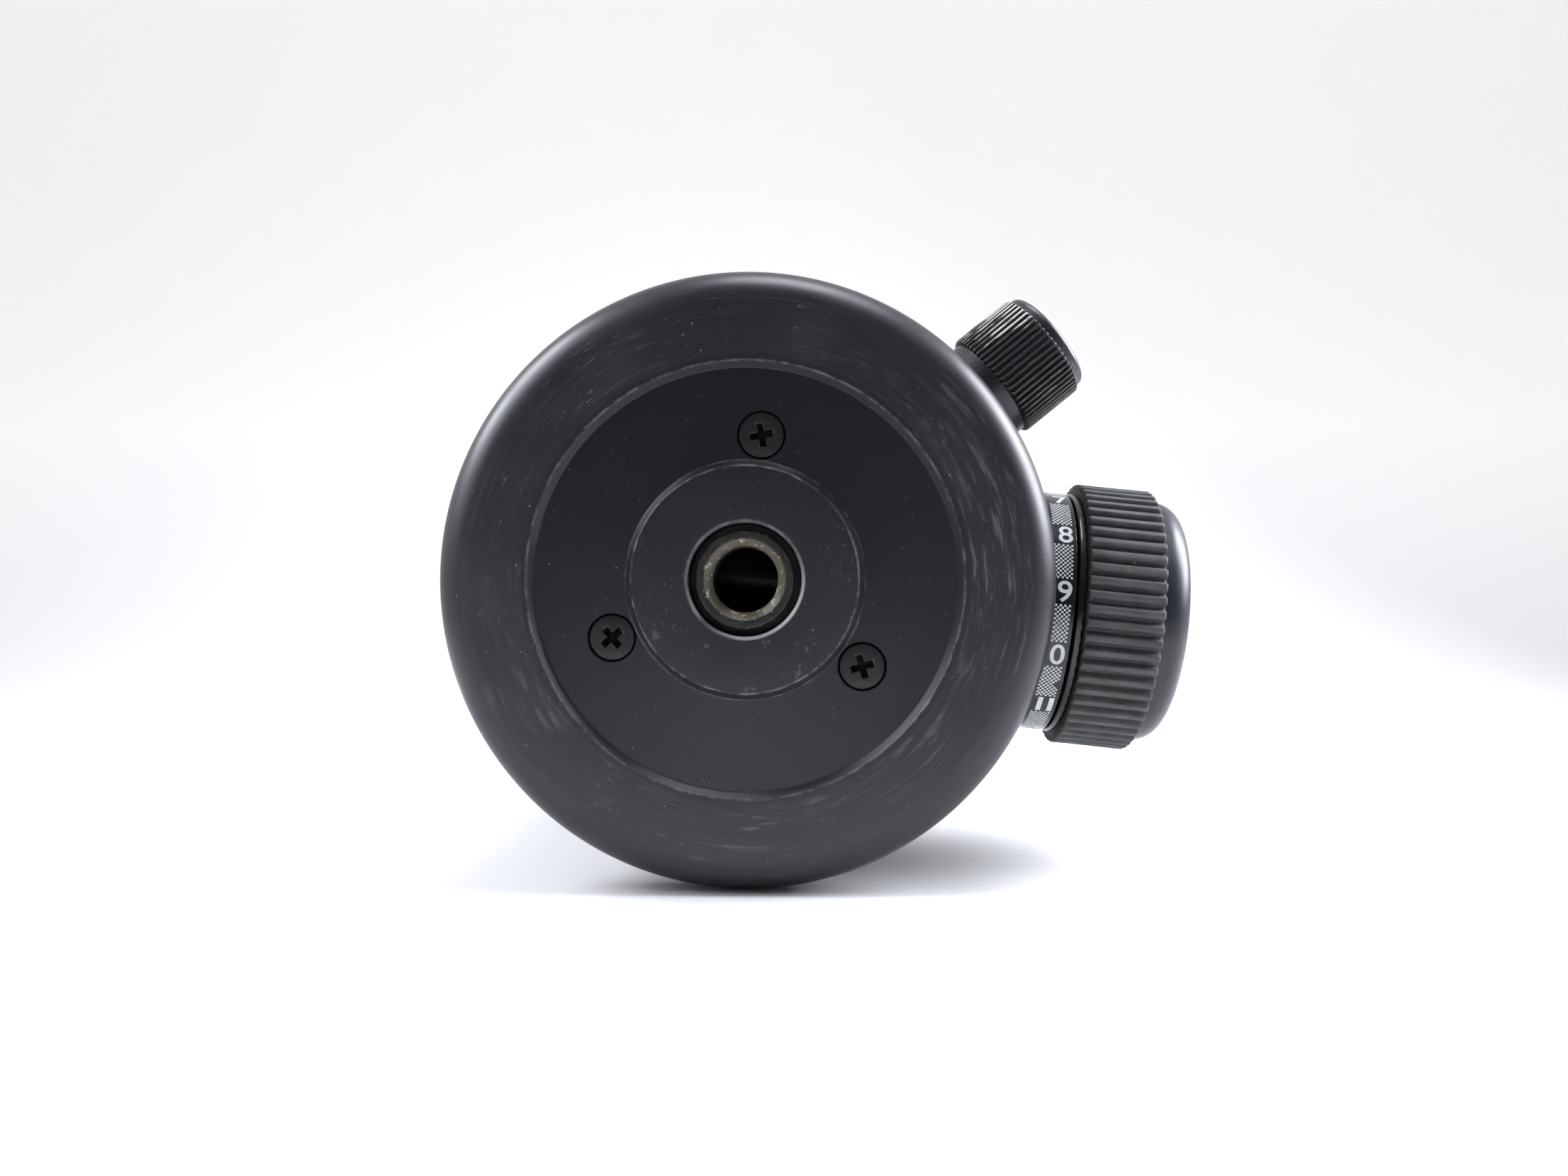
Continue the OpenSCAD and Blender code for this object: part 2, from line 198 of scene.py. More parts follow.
def cross_tool(name, place, turn, top, bottom, top_z, bottom_z):
    """A cross-shaped cutter whose (half-length, half-width) shrink from top to bottom."""
    work = bmesh.new()
    rings = []
    for (long, wide), z in ((top, top_z), (bottom, bottom_z)):
        ring = []
        for quarter in range(4):
            spin = Matrix.Rotation(turn + quarter * math.pi / 2, 3, "Z")
            for x, y in ((wide, -wide), (long, -wide), (long, wide)):
                p = spin @ Vector((x, y, 0))
                ring.append(work.verts.new((p.x * MM, p.y * MM, z * MM)))
        rings.append(ring)
    a, b = rings
    work.faces.new(a)
    work.faces.new(b[::-1])
    for i in range(12):
        j = (i + 1) % 12
        work.faces.new((a[i], b[i], b[j], a[j]))
    return finish_mesh(name, work, place)


def smooth_step(x):
    x = max(0.0, min(1.0, x))
    return x * x * (3 - 2 * x)


def outer_rows(profile, radius, first, last, steps):
    """Adds even points along a profile's outer wall, so that a pattern can shape it."""
    between = [(radius, first + (last - first) * k / steps) for k in range(1, steps)]
    at = next(i for i, p in enumerate(profile) if abs(p[0] - radius) < 1e-6) + 1
    return profile[:at] + between + profile[at:]


def ridge(angle, count, start, width):
    """Height from 0 to 1 of a ring of even ridges, each centred on its share of the turn."""
    side = abs((angle * count / TURN) % 1.0 - 0.5) * 2
    return smooth_step((start - side) / width)


# ---------------------------------------------------------------- material tools


def plug(tree, socket, value):
    """Links a socket to another, or sets its own value."""
    if isinstance(value, bpy.types.NodeSocket):
        tree.links.new(value, socket)
    else:
        socket.default_value = value


class Look:
    """A procedural material, built up from nodes in object coordinates."""

    def __init__(self, name, colour, roughness, metallic=0.0):
        self.material = bpy.data.materials.new(name)
        self.material.use_nodes = True
        self.tree = self.material.node_tree
        self.shader = self.tree.nodes["Principled BSDF"]
        self.shader.inputs["Metallic"].default_value = metallic
        self.here = self.new("TexCoord").outputs["Object"]
        self.colour = self.flat(colour)
        self.rough = roughness
        self.bump = None

    def new(self, kind, **settings):
        made = self.tree.nodes.new("ShaderNode" + kind)
        for key, value in settings.items():
            setattr(made, key, value)
        return made

    def put(self, socket, value):
        plug(self.tree, socket, value)

    def flat(self, colour):
        made = self.new("RGB")
        made.outputs[0].default_value = (*colour, 1)
        return made.outputs[0]

    def math(self, operation, a, b=0.0):
        made = self.new("Math", operation=operation)
        self.put(made.inputs[0], a)
        self.put(made.inputs[1], b)
        return made.outputs[0]

    def times(self, *values):
        out = values[0]
        for v in values[1:]:
            out = self.math("MULTIPLY", out, v)
        return out

    def vector(self, x, y, z):
        made = self.new("CombineXYZ")
        for socket, value in zip(made.inputs, (x, y, z)):
            self.put(socket, value)
        return made.outputs[0]

    def noise(self, scale, detail=3.0, rough=0.5, at=None):
        made = self.new("TexNoise")
        self.put(made.inputs["Vector"], at or self.here)
        made.inputs["Scale"].default_value = scale
        made.inputs["Detail"].default_value = detail
        made.inputs["Roughness"].default_value = rough
        return made.outputs["Fac"]

    def step(self, value, low, high, at_low=0.0, at_high=1.0):
        made = self.new("MapRange", interpolation_type="SMOOTHSTEP")
        for socket, v in zip(made.inputs, (value, low, high, at_low, at_high)):
            self.put(socket, v)
        return made.outputs[0]

    def band(self, value, centre, half):
        """1 within half of centre, and 0 beyond twice that."""
        away = self.math("ABSOLUTE", self.math("SUBTRACT", value, centre))
        return self.step(away, half, 2 * half, 1.0, 0.0)

    def polar(self):
        """Radius and height in millimetres, and the direction's cosine and sine."""
        parts = self.new("SeparateXYZ")
        self.put(parts.inputs[0], self.here)
        x, y, z = parts.outputs
        r = self.math("SQRT", self.math("ADD", self.times(x, x), self.times(y, y)))
        safe = self.math("MAXIMUM", r, 1e-6)
        cosine = self.math("DIVIDE", x, safe)
        sine = self.math("DIVIDE", y, safe)
        return self.times(r, 1 / MM), self.times(z, 1 / MM), cosine, sine

    def streaks(self, polar, round_count, radial, detail=4.0):
        """Noise drawn out round the axis, as turning marks and scuffs are."""
        r, h, c, s = polar
        out = self.times(self.math("ADD", r, h), radial)
        where = self.vector(self.times(c, round_count), self.times(s, round_count), out)
        return self.noise(1.0, detail, 0.6, where)

    def over(self, amount, colour, roughness=None):
        """Lays another finish over what is there, by amount."""
        mix = self.new("Mix", data_type="RGBA")
        self.put(mix.inputs[0], amount)
        self.put(mix.inputs[6], self.colour)
        self.put(mix.inputs[7], self.flat(colour))
        self.colour = mix.outputs[2]
        if roughness is not None:
            blend = self.new("Mix", data_type="FLOAT")
            self.put(blend.inputs[0], amount)
            self.put(blend.inputs[2], self.rough)
            self.put(blend.inputs[3], roughness)
            self.rough = blend.outputs[0]

    def raise_by(self, height, distance, strength):
        """Adds a bump, whose distance is in millimetres."""
        made = self.new("Bump")
        made.inputs["Strength"].default_value = strength
        made.inputs["Distance"].default_value = distance * MM
        self.put(made.inputs["Height"], height)
        if self.bump:
            self.put(made.inputs["Normal"], self.bump)
        self.bump = made.outputs[0]

    def soft_edges(self, width):
        """Rounds the shading of edges over this width, and returns where they are."""
        bevel = self.new("Bevel", samples=6)
        bevel.inputs["Radius"].default_value = width * MM
        self.bump = bevel.outputs[0]
        dot = self.new("VectorMath", operation="DOT_PRODUCT")
        self.put(dot.inputs[0], bevel.outputs[0])
        self.put(dot.inputs[1], self.new("NewGeometry").outputs["Normal"])
        return self.step(dot.outputs["Value"], 0.995, 0.85)

    def specks(self, spacing, radius, share):
        """Small round specks, one in the given share of the cells. Sizes are in millimetres."""
        cells = self.new("TexVoronoi", feature="F1")
        self.put(cells.inputs["Vector"], self.here)
        cells.inputs["Scale"].default_value = 1 / (spacing * MM)
        near = self.step(cells.outputs["Distance"], radius / spacing, 0.5 * radius / spacing)
        pick = self.new("SeparateColor")
        self.put(pick.inputs[0], cells.outputs["Color"])
        return self.times(near, self.math("GREATER_THAN", pick.outputs[0], 1 - share))

    def done(self):
        self.put(self.shader.inputs["Base Color"], self.colour)
        self.put(self.shader.inputs["Roughness"], self.rough)
        if self.bump:
            self.put(self.shader.inputs["Normal"], self.bump)
        return self.material


DUST = (0.30, 0.29, 0.27)
SCUFF = (0.115, 0.108, 0.102)


def anodised_look(name, colour=(0.013, 0.013, 0.0165), roughness=0.36):
    """Satin black anodising with softened, slightly worn edges, dust and fine grain."""
    look = Look(name, colour, roughness)
    edge = look.soft_edges(0.25)
    cloud = look.noise(90, 5, 0.6)
    look.rough = look.step(cloud, 0.3, 0.7, roughness - 0.05, roughness + 0.07)
    wear = look.times(edge, look.step(look.noise(700, 4, 0.7), 0.52, 0.7), 0.5)
    look.over(wear, (0.22, 0.21, 0.20), 0.4)
    look.over(look.times(look.specks(2.2, 0.07, 0.35), 0.6), DUST, 0.7)
    look.raise_by(look.noise(7000, 2, 0.5), 0.006, 0.5)
    return look.done()


def base_disc_look():
    """Satin black, turned and scuffed: the outer face is worn in arcs, and the recess is cleaner."""
    look = Look("base_disc_satin", (0.0066, 0.0065, 0.0108), 0.35)
    polar = look.polar()
    r, h = polar[0], polar[1]
    on_face = look.step(h, 0.25, 0.02)
    on_rim = look.step(r, 34.0, 36.5)
    beyond_recess = look.step(r, RECESS_EDGE + 0.3, RECESS_EDGE + 1.0)
    outer_face = look.times(on_face, beyond_recess, look.step(r, 36.0, 34.0))
    on_boss = look.times(on_face, look.step(r, BOSS_EDGE + 0.1, BOSS_EDGE - 0.4))
    cloud = look.noise(70, 5, 0.65)
    look.rough = look.step(cloud, 0.3, 0.7, 0.33, 0.42)
    in_recess = look.times(look.step(r, RECESS_EDGE, RECESS_EDGE - 0.6), 0.85)
    look.over(in_recess, (0.0062, 0.0058, 0.0096), 0.29)
    # the worn face is greyer and duller all over
    look.over(look.times(outer_face, 0.18), (0.034, 0.029, 0.029), 0.42)
    look.over(look.times(on_boss, 0.12), (0.040, 0.038, 0.042), 0.42)
    # long fine arcs and shorter brown-grey scuffs
    fine = look.step(look.streaks(polar, 2.2, 5.5, 5), 0.52, 0.74)
    look.over(look.times(fine, outer_face, 0.30), SCUFF, 0.5)
    patches = look.step(look.noise(48, 3, 0.6), 0.46, 0.62)
    broad = look.step(look.streaks(polar, 5.0, 1.5, 7), 0.52, 0.66)
    look.over(look.times(broad, patches, outer_face, 0.60), (0.118, 0.112, 0.108), 0.55)
    grimy = look.step(look.noise(34, 4, 0.6), 0.45, 0.68)
    look.over(look.times(grimy, outer_face, 0.22), (0.046, 0.040, 0.037), 0.55)
    short = look.step(look.streaks(polar, 16.0, 4.5, 3), 0.62, 0.70)
    in_places = look.step(look.noise(120, 2), 0.52, 0.6)
    look.over(look.times(short, in_places, on_face, 0.6), (0.16, 0.15, 0.14), 0.55)
    # nicks in the boss and a few bright ones on the face
    nick = look.step(look.noise(1500, 4, 0.75), 0.66, 0.72)
    boss_places = look.step(look.noise(160, 2), 0.52, 0.62)
    face_places = look.step(look.noise(210, 2), 0.60, 0.66)
    look.over(look.times(nick, on_boss, boss_places, 0.75), (0.26, 0.25, 0.24), 0.5)
    look.over(look.times(nick, outer_face, face_places, 0.7), (0.30, 0.28, 0.24), 0.5)
    # rubbed spots on the lower half of the boss
    spots = look.step(look.noise(430, 3, 0.55), 0.62, 0.68)
    lower_half = look.step(polar[3], 0.35, 0.7)
    look.over(look.times(spots, on_boss, lower_half, 0.35), (0.15, 0.145, 0.15), 0.5)
    # painted highlight: a smooth light band round the bore's edge, strongest on one side
    toward = look.math("ADD", look.times(polar[2], 0.78), look.times(polar[3], 0.63))
    bore_edge_painted_highlight = look.times(look.band(r, BORE_EDGE - 0.05, 0.13), look.step(toward, 0.3, 0.9, 0.12, 0.95))
    look.over(bore_edge_painted_highlight, (0.26, 0.26, 0.26), 0.38)
    # worn edges of the recess, the boss and its bore
    ragged = look.step(look.noise(420, 5, 0.7), 0.42, 0.62)
    edges = (
        (RECESS_EDGE, 0.10, 0.28),
        (BOSS_EDGE + 0.02, 0.09, 0.40),
        (BORE_EDGE - 0.05, 0.12, 0.30),
        (BOSS_FOOT, 0.07, 0.25),
    )
    for radius, half_width, amount in edges:
        look.over(look.times(look.band(r, radius, half_width), ragged, amount), (0.24, 0.235, 0.23), 0.42)
    # streaks along the rim
    rim = look.step(look.streaks(polar, 7.0, 2.4, 4), 0.56, 0.72)
    look.over(look.times(rim, on_rim, 0.22), (0.090, 0.088, 0.10), 0.46)
    look.over(look.times(look.specks(1.25, 0.075, 0.5), 0.9), DUST, 0.7)
    look.over(look.times(look.specks(2.6, 0.12, 0.35), 0.9), DUST, 0.7)
    look.over(look.times(look.specks(4.6, 0.16, 0.15), 0.6), (0.33, 0.30, 0.2), 0.7)
    look.raise_by(look.streaks(polar, 1.0, 26.0, 3), 0.004, 0.45)
    look.raise_by(look.noise(6500, 2, 0.5), 0.005, 0.5)
    return look.done()


def bush_look():
    """Darkened turned steel whose chamfer and threads are rubbed bright."""
    look = Look("bush_turned_steel", (0.010, 0.009, 0.0085), 0.44, 0.3)
    polar = look.polar()
    r, h = polar[0], polar[1]
    rings = look.step(look.streaks(polar, 4.0, 7.0, 5), 0.45, 0.7, 0.0, 0.35)
    look.over(rings, (0.09, 0.08, 0.06), 0.40)
    inside = look.times(look.step(r, 5.05, 4.93), look.step(h, 3.2, 1.6))
    look.over(look.times(inside, 0.9), (0.135, 0.118, 0.085), 0.33)
    rubbed = look.step(look.noise(900, 5, 0.7), 0.56, 0.66)
    at_mouth = look.times(look.step(r, 5.3, 5.0), look.step(h, 3.0, 1.5))
    look.over(look.times(rubbed, at_mouth, 0.8), (0.72, 0.69, 0.60), 0.25)
    look.over(look.times(look.band(r, 5.95, 0.07), rubbed, 0.4), (0.4, 0.37, 0.3), 0.3)
    look.raise_by(look.streaks(polar, 1.5, 22.0, 3), 0.016, 0.8)
    return look.done()


def screw_look():
    """Black zinc with a few rubbed burrs on the cross recess's edges, and painted shade inside the cross
    recess.
    """
    look = Look("screw_black_zinc", (0.011, 0.011, 0.012), 0.38, 0.25)
    edge = look.soft_edges(0.10)
    burr = look.times(edge, look.step(look.noise(1300, 4, 0.7), 0.46, 0.60))
    look.over(look.times(burr, 0.85), (0.42, 0.40, 0.34), 0.3)
    # painted shade: the inside of the cross recess is made near black and duller
    recess = look.step(look.polar()[1], SCREW_FACE + 0.12, SCREW_FACE + 0.5)
    look.over(recess, (0.0015, 0.0015, 0.0015), 0.7)
    look.over(look.step(look.noise(380, 5, 0.7), 0.55, 0.75, 0.0, 0.35), (0.05, 0.047, 0.045), 0.5)
    look.raise_by(look.noise(3500, 3, 0.6), 0.01, 0.5)
    return look.done()


def gloss_look(name="gloss_black"):
    """Glossy black paint with hairline scratches and dust."""
    look = Look(name, (0.008, 0.008, 0.009), 0.14)
    polar = look.polar()
    look.rough = look.step(look.noise(300, 4, 0.6), 0.3, 0.75, 0.10, 0.24)
    hair = look.step(look.streaks(polar, 3.0, 18.0, 4), 0.60, 0.72)
    look.over(look.times(hair, 0.12), (0.16, 0.16, 0.16), 0.4)
    look.over(look.times(look.specks(1.6, 0.05, 0.35), 0.6), DUST, 0.7)
    look.raise_by(look.noise(1200, 2, 0.5), 0.004, 0.4)
    return look.done()


def marks_look():
    """Off-white printed marks, a little worn."""
    look = Look("scale_print", (0.66, 0.70, 0.71), 0.42)
    worn = look.step(look.noise(1400, 4, 0.7), 0.60, 0.72)
    look.over(look.times(worn, 0.35), (0.25, 0.26, 0.27), 0.5)
    look.raise_by(look.noise(2600, 3, 0.5), 0.006, 0.5)
    return look.done()


def ball_look():
    """Polished black, slightly cloudy, with a few specks of dust."""
    look = Look("ball_polished_black", (0.010, 0.010, 0.012), 0.16)
    look.rough = look.step(look.noise(150, 5, 0.6), 0.3, 0.7, 0.12, 0.22)
    look.over(look.times(look.specks(2.4, 0.06, 0.3), 0.5), DUST, 0.7)
    look.raise_by(look.noise(2400, 3, 0.5), 0.003, 0.4)
    return look.done()


def steel_look(name, colour, roughness):
    """Turned bare metal with rings and light stains."""
    look = Look(name, colour, roughness, 1.0)
    look.soft_edges(0.12)
    polar = look.polar()
    rings = look.streaks(polar, 2.0, 14.0, 4)
    look.rough = look.step(rings, 0.3, 0.7, roughness - 0.08, roughness + 0.1)
    stain = look.step(look.noise(240, 4, 0.6), 0.5, 0.75, 0.0, 0.4)
    look.over(stain, tuple(0.55 * c for c in colour), roughness + 0.15)
    look.raise_by(look.streaks(polar, 1.0, 24.0, 3), 0.006, 0.4)
    return look.done()


def plastic_look():
    """Matt off-white plastic."""
    look = Look("matt_white_plastic", (0.78, 0.77, 0.73), 0.5)
    look.over(look.step(look.noise(300, 4, 0.6), 0.55, 0.8, 0.0, 0.3), (0.55, 0.52, 0.45), 0.6)
    look.raise_by(look.noise(3000, 3, 0.5), 0.01, 0.4)
    return look.done()


def rubber_look(name, dusty=1.0):
    """Matt rubber with a skin of pale dust on its high parts."""
    look = Look(name, (0.024, 0.0248, 0.0245), 0.62)
    r = look.polar()[0]
    film = look.step(look.noise(260, 6, 0.7), 0.38, 0.70, 0.30, 0.75)
    raised = look.step(r, 17.4, 17.95, 0.40, 1.0)
    look.over(look.times(film, raised, dusty), (0.098, 0.103, 0.104), 0.74)
    smear = look.step(look.noise(1900, 5, 0.75), 0.58, 0.72)
    in_places = look.step(look.noise(90, 3), 0.48, 0.62)
    look.over(look.times(smear, in_places, 0.45 * dusty), (0.13, 0.13, 0.12), 0.75)
    look.over(look.times(look.specks(1.5, 0.06, 0.4), 0.65), (0.36, 0.36, 0.34), 0.8)
    look.over(look.times(look.specks(5.6, 0.26, 0.16), 0.85), (0.50, 0.45, 0.22), 0.8)
    look.raise_by(look.noise(4200, 4, 0.6), 0.02, 0.6)
    return look.done()


def knurl_look(crest_r):
    """Satin black knurl whose crests are rubbed to bare metal on one side and at the outer end."""
    look = Look("pan_knob_worn_knurl", (0.013, 0.013, 0.015), 0.36)
    r, h, c, s = look.polar()
    start, end, _ = extent("pan_knob", PAN_LOCK_AXIS)
    crest = look.step(r, crest_r - 0.17, crest_r - 0.03)
    rubbed_side = look.step(s, -0.28, -0.60)
    outer_end = look.step(h, end - 3.4, end - 0.3)
    both = look.times(rubbed_side, look.step(h, start + 5.0, end - 1.5, 0.35, 1.0))
    amount = look.math("ADD", look.times(both, 0.30), look.times(outer_end, 0.04))
    drawn_out = look.vector(look.times(c, 26.0), look.times(s, 26.0), look.times(h, 0.38))
    patchy = look.math("ADD", look.noise(1.0, 4, 0.65, drawn_out), amount)
    wear = look.times(crest, look.step(patchy, 0.63, 0.76))
    look.over(look.times(wear, 0.95), (0.62, 0.60, 0.55), 0.32)
    brown = look.times(crest, look.step(s, 0.1, 0.8), look.step(look.noise(620, 4, 0.7), 0.58, 0.70))
    look.over(look.times(brown, 0.5), (0.24, 0.20, 0.10), 0.6)
    look.over(look.times(look.specks(1.3, 0.05, 0.3), 0.6), DUST, 0.7)
    look.raise_by(look.noise(3800, 4, 0.6), 0.012, 0.5)
    return look.done()


def end_disc_look():
    """Satin black with fine bright scratches round it."""
    look = Look("pan_knob_end_satin", (0.013, 0.014, 0.017), 0.34)
    look.rough = look.step(look.noise(500, 4, 0.6), 0.3, 0.7, 0.30, 0.40)
    polar = look.polar()
    scratches = look.step(look.streaks(polar, 6.0, 5.0, 4), 0.58, 0.70)
    look.over(look.times(scratches, 0.3), (0.3, 0.3, 0.3), 0.35)
    look.raise_by(look.noise(4200, 3, 0.5), 0.006, 0.4)
    return look.done()


def cap_look():
    """Satin blue-black with faint scuffs round it and dust specks."""
    look = Look("knob_cap_satin", (0.012, 0.014, 0.020), 0.33)
    polar = look.polar()
    look.rough = look.step(look.noise(120, 5, 0.6), 0.3, 0.7, 0.30, 0.40)
    scuffs = look.step(look.streaks(polar, 5.0, 3.0, 4), 0.6, 0.74)
    look.over(look.times(scuffs, 0.15), SCUFF, 0.5)
    look.over(look.times(look.specks(1.8, 0.08, 0.4), 0.7), (0.45, 0.45, 0.44), 0.7)
    look.raise_by(look.noise(5200, 2, 0.5), 0.005, 0.5)
    return look.done()


# ---------------------------------------------------------------- pieces


def stand_for(piece, node, material):
    """The piece takes a CAD node's place and body, and the given material."""
    piece.data.materials.clear()
    piece.data.materials.append(material)
    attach(piece, body_of_node[node])
    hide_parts(node)
    return piece


def screw_place(k):
    azimuth = math.radians(SCREW_AZIMUTH + 120 * k)
    at = Vector((math.cos(azimuth), math.sin(azimuth), 0)) * SCREW_CIRCLE
    return Matrix.Translation(at * MM)


def make_base_disc():
    _, top, radius = extent("base_disc", PAN_AXIS)
    bore, hub_bore, hub_depth = 6.85, 9.02, 5.0
    corners = [
        (hub_bore, hub_depth, 0),
        (bore, hub_depth, 0),
        (bore, 0.35, 0.12),
        (BORE_EDGE, 0, 0.10),
        (BOSS_EDGE, 0, 0.16),
        (BOSS_FOOT, RECESS_DEPTH, 0.14),
        (RECESS_FOOT, RECESS_DEPTH, 0.14),
        (RECESS_EDGE, 0, 0.12),
        (radius, 0, 4.6),
        (radius, top, 1.5),
        (hub_bore, top, 0.1),
    ]
    disc = lathe("base_disc_turned", rounded(corners, 10), PAN_AXIS, 400, sharp=40)
    holes = []
    for k in range(3):
        hole = [(0, -1), (3.0, -1), (3.0, 1.4), (1.6, 2.8), (1.6, 9), (0, 9)]
        holes.append(lathe(f"countersink_{k}", hole, screw_place(k), 96))
    cut(disc, holes, 40)
    return stand_for(disc, "base_disc", base_disc_look())


def make_base_screws():
    head, shank, length = 2.75, 1.5, 14
    corners = [
        (0, SCREW_FACE, 0),
        (head, SCREW_FACE, 0.14),
        (head, SCREW_FACE + 0.3, 0),
        (shank, SCREW_FACE + 1.6, 0),
        (shank, SCREW_FACE + length, 0.2),
        (0, SCREW_FACE + length, 0),
    ]
    top, bottom = (1.52, 0.46), (1.15, 0.34)
    look = screw_look()
    for k, turn in enumerate(CROSS_TURNS):
        place = screw_place(k)
        screw = lathe(f"base_screw_{k + 1}", rounded(corners, 4), place, 96)
        heights = SCREW_FACE - 0.3, SCREW_FACE + 1.8
        cut(screw, [cross_tool(f"cross_{k}", place, math.radians(turn), top, bottom, *heights)])
        stand_for(screw, "base_screws", look)


THREAD_MINOR = 4.0
THREAD_MAJOR = 4.76
THREAD_PITCH = 25.4 / 16


def make_thread_bush():
    bottom, top, flange = extent("thread_bush", PAN_AXIS)
    mouth, outer, collar = 4.95, 5.98, 6.83
    rows_inside = 150
    inside = [(THREAD_MINOR, top - (top - bottom) * k / rows_inside) for k in range(rows_inside + 1)]
    collar_from, flange_from = 3.0, 5.0
    outside = [
        (mouth, bottom, 0.05),
        (outer, bottom, 0.15),
        (outer, collar_from, 0),
        (collar, collar_from, 0.1),
        (collar, flange_from, 0),
        (flange, flange_from, 0.1),
        (flange, top, 0.1),
    ]

    def thread(r, h, angle):
        if r > THREAD_MINOR + 0.01:
            return r
        phase = (h / THREAD_PITCH - angle / TURN) % 1.0
        tooth = min(1.0, max(0.0, 1.15 * (1 - abs(2 * phase - 1)) - 0.05))
        cone = mouth - (h - bottom) * 0.95
        return max(cone, THREAD_MINOR + (THREAD_MAJOR - THREAD_MINOR) * tooth)

    profile = inside + rounded(outside, 4)
    bush = lathe("thread_bush_threaded", profile, PAN_AXIS, 256, thread, sharp=50)
    return stand_for(bush, "thread_bush", bush_look())


def make_scale_drum():
    start, end, radius = extent("scale_drum", LOCK_AXIS)
    bore = 10.05
    profile = rounded([(bore, start, 0), (radius, start, 0.3), (radius, end, 0.3), (bore, end, 0)], 5)
    drum = lathe("scale_drum_turned", profile, LOCK_AXIS, 256)
    return stand_for(drum, "scale_drum", gloss_look())


NUMBER_HEIGHT = 2.8
NUMBER_WIDTH = 1.87
NARROW_WIDTH = 0.66
DIGIT_GAP = 0.80
NUMBER_PITCH = 28.6
NUMBER_NINE_AT = -9.5
MARKS_END = 41.35
CHECK_CELL = 0.290
CHECK_COLUMNS = 9


def digit_mesh(digit, width, right):
    """One digit as a flat mesh of the given width, whose right edge is at the given place."""
    curve = bpy.data.curves.new("digit", "FONT")
    curve.body = digit
    curve.size = 1.0
    curve.offset = 0.010
    curve.resolution_u = 6
    holder = bpy.data.objects.new("digit", curve)
    bpy.context.scene.collection.objects.link(holder)
    bpy.context.view_layer.update()
    ready = holder.evaluated_get(bpy.context.evaluated_depsgraph_get())
    mesh = bpy.data.meshes.new_from_object(ready)
    bpy.data.objects.remove(holder)
    xs = [v.co.x for v in mesh.vertices]
    ys = [v.co.y for v in mesh.vertices]
    sx, sy = width / (max(xs) - min(xs)), NUMBER_HEIGHT / (max(ys) - min(ys))
    middle = (max(ys) + min(ys)) / 2
    for v in mesh.vertices:
        v.co = ((v.co.x - max(xs)) * sx + right, (v.co.y - middle) * sy, 0)
    work = bmesh.new()
    work.from_mesh(mesh)
    bpy.data.meshes.remove(mesh)
    # cut into strips, so that it can bend round the drum
    cuts_each_way, strip = 6, 0.23
    for k in range(-cuts_each_way, cuts_each_way + 1):
        everything = work.verts[:] + work.edges[:] + work.faces[:]
        at = (0, k * strip, 0)
        bmesh.ops.bisect_plane(work, geom=everything, plane_co=at, plane_no=(0, 1, 0))
    return work


def add_number(whole, number, wrap):
    """Adds a number's digits, from its last digit back."""
    right = 0.0
    for digit in reversed(str(number)):
        width = NARROW_WIDTH if digit == "1" else NUMBER_WIDTH
        work = digit_mesh(digit, width, right)
        index = {v: whole.verts.new(wrap(v.co.x, v.co.y)) for v in work.verts}
        for f in work.faces:
            whole.faces.new([index[v] for v in f.verts])
        work.free()
        right -= width + DIGIT_GAP


def add_patch(whole, height, worn, wrap):
    """Adds a checkered patch of about this height, with a worn spot if asked for."""
    rows = int(height / CHECK_CELL)
    half = 0.46 * CHECK_CELL
    for i in range(rows):
        for j in range(CHECK_COLUMNS):
            worn_off = worn and j >= CHECK_COLUMNS - 2 and 0.44 < i / rows < 0.62
            if (i + j) % 2 or worn_off:
                continue
            x = -(CHECK_COLUMNS - 0.5 - j) * CHECK_CELL
            y = ((rows - 1) / 2 - i) * CHECK_CELL
            corners = ((-half, -half), (half, -half), (half, half), (-half, half))
            whole.faces.new([whole.verts.new(wrap(x + dx, y + dy)) for dx, dy in corners])


def make_scale_marks():
    """Numbers 1 to 12 round the drum, with a checkered patch between each two."""
    _, _, radius = extent("scale_drum", LOCK_AXIS)
    raised = radius + 0.015
    gap = math.radians(NUMBER_PITCH) * radius - NUMBER_HEIGHT
    whole = bmesh.new()

    def wrap_at(middle):
        """Wraps flat marks onto the drum, with their middle at this angle in degrees."""

        def wrap(along, up):
            a = math.radians(middle) - up / radius
            return Vector((raised * math.cos(a), raised * math.sin(a), MARKS_END + along)) * MM

        return wrap

    for n in range(1, 13):
        middle = NUMBER_NINE_AT + NUMBER_PITCH * (n - 9)
        add_number(whole, n, wrap_at(middle))
        if n < 12:
            add_patch(whole, gap - 0.35, n == 10, wrap_at(middle + NUMBER_PITCH / 2))
    for f in whole.faces:
        f.normal_update()
        centre = f.calc_center_median()
        if f.normal.x * centre.x + f.normal.y * centre.y < 0:
            f.normal_flip()
    mesh = bpy.data.meshes.new("scale_marks")
    whole.to_mesh(mesh)
    whole.free()
    marks = add_object("scale_marks", mesh, LOCK_AXIS)
    marks.data.materials.append(marks_look())
    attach(marks, "scale_dial")
    return marks


def make_knob_collar():
    start, end, radius = extent("knob_collar", LOCK_AXIS)
    profile = rounded([(5.02, start, 0), (radius, start, 0.25), (radius, end, 0.22), (5.02, end, 0)], 5)
    ring = lathe("knob_collar_turned", profile, LOCK_AXIS, 256)
    return stand_for(ring, "knob_collar", gloss_look("gloss_black_collar"))


GRIP_RIBS = 60
RIB_DEPTH = 0.78


